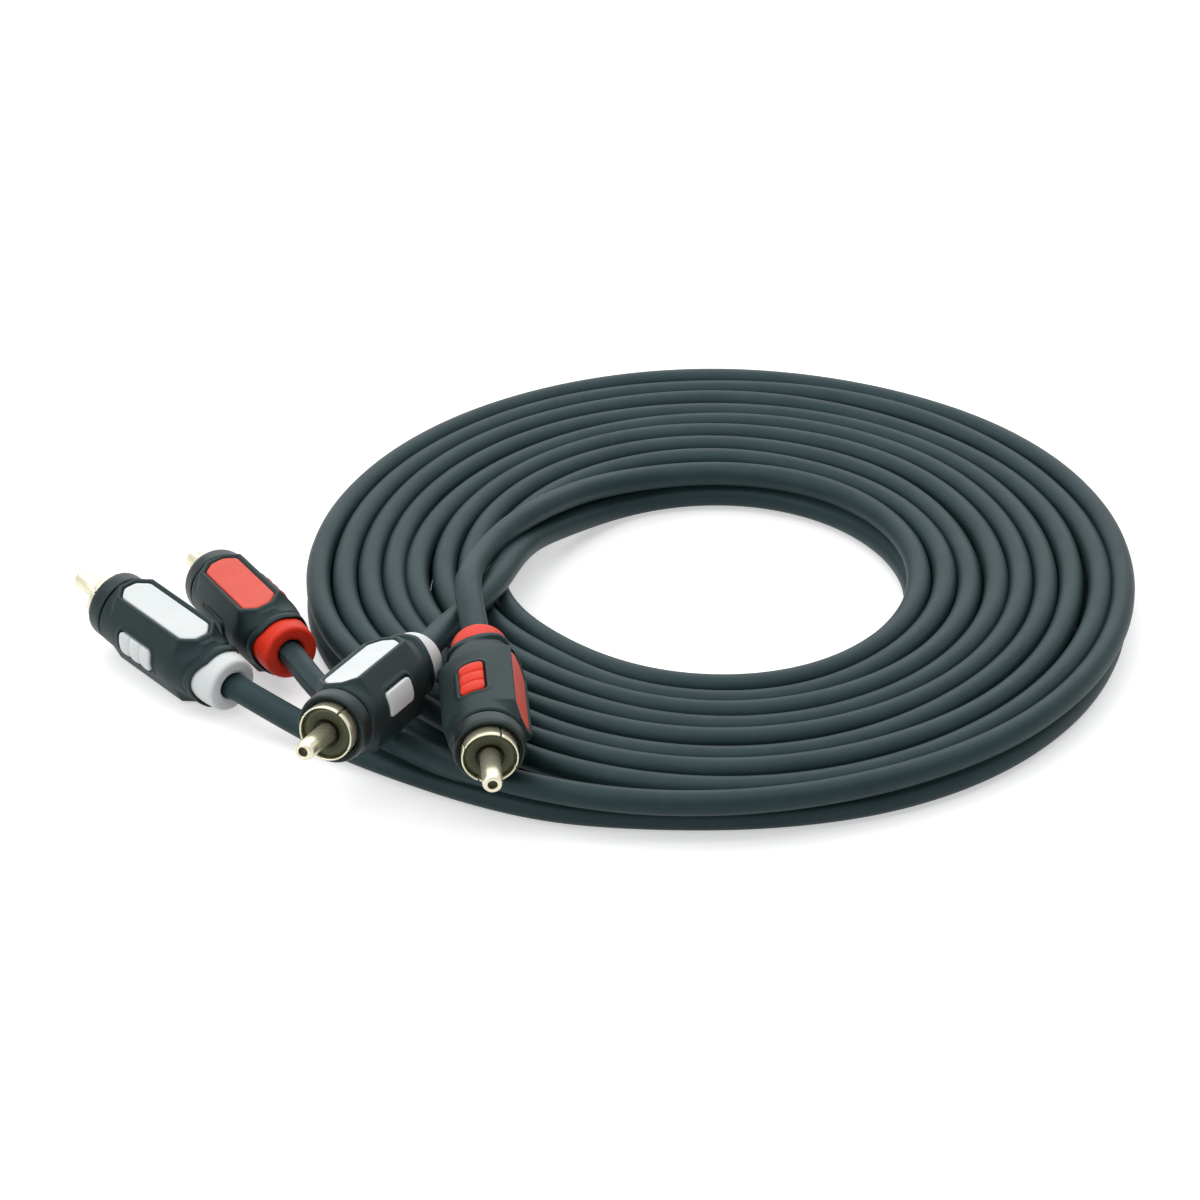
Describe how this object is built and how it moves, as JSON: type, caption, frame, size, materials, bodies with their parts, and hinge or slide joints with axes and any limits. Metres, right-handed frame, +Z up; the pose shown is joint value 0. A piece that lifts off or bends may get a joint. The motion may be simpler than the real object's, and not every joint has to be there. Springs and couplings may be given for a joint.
{
  "type": "stereo audio cable",
  "caption": "Coiled stereo phono audio cable with moulded red and white plugs, for joining a line output to a line input.",
  "frame": {"origin": "on the surface that the cable lies on, under the middle of the box around its plugs", "axes": "+Z up; +Y from the front pair of plugs across the coil; +X from the left pair of plugs towards the coil"},
  "size_m": [0.1773, 0.148, 0.0246],
  "materials": {
    "plating": "pale gold plating, polished",
    "insulator": "dark olive, moulded",
    "nose": "black, satin",
    "boot": "dark grey, soft matte",
    "white_moulding": "white, satin",
    "red_moulding": "red, satin",
    "insulation": "natural polyethylene",
    "jacket": "blue-grey soft jacket, matte"
  },
  "bodies": {
    "root": {"left_white_pin": "plating", "left_white_insulator": "insulator", "left_white_sleeve": "plating", "left_white_nose_ring": "nose", "left_white_core": "white_moulding", "left_white_boot": "boot", "left_white_conductor": "insulation", "left_red_pin": "plating", "left_red_insulator": "insulator", "left_red_sleeve": "plating", "left_red_nose_ring": "nose", "left_red_core": "red_moulding", "left_red_boot": "boot", "left_red_conductor": "insulation", "front_white_pin": "plating", "front_white_insulator": "insulator", "front_white_sleeve": "plating", "front_white_nose_ring": "nose", "front_white_core": "white_moulding", "front_white_boot": "boot", "front_white_conductor": "insulation", "front_red_pin": "plating", "front_red_insulator": "insulator", "front_red_sleeve": "plating", "front_red_nose_ring": "nose", "front_red_core": "red_moulding", "front_red_boot": "boot", "front_red_conductor": "insulation", "red_wire_coil": "jacket", "white_wire_coil": "jacket", "white_lead_in": "jacket", "red_lead_in": "jacket", "white_lead_out": "jacket", "red_lead_out": "jacket"}
  },
  "joints": []
}
